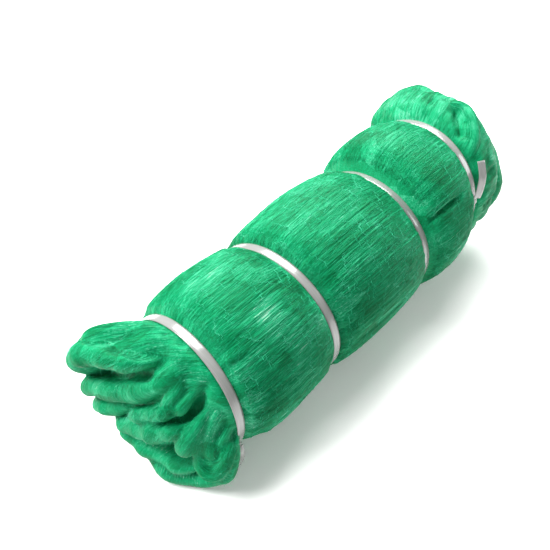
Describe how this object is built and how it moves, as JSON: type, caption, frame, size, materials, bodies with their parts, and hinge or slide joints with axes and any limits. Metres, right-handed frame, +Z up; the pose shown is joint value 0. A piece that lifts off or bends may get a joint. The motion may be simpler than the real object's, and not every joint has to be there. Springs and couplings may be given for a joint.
{
  "type": "folded fishing net",
  "caption": "Green fishing net folded lengthwise into a long lumpy bundle and bound with flat white tapes.",
  "frame": {"origin": "on the floor under the middle of the bundle's bounding box", "axes": "+Z up, +X along the bundle from the end with the layered folds towards the rounded end"},
  "size_m": [0.536, 0.191, 0.1816],
  "materials": {
    "green_twine": "silky nylon filament",
    "white_tape": "pearly flat tying tape"
  },
  "bodies": {
    "root": {"net": "green_twine", "tie_1": "white_tape", "tie_2": "white_tape", "tie_3": "white_tape", "tie_4": "white_tape"}
  },
  "joints": []
}
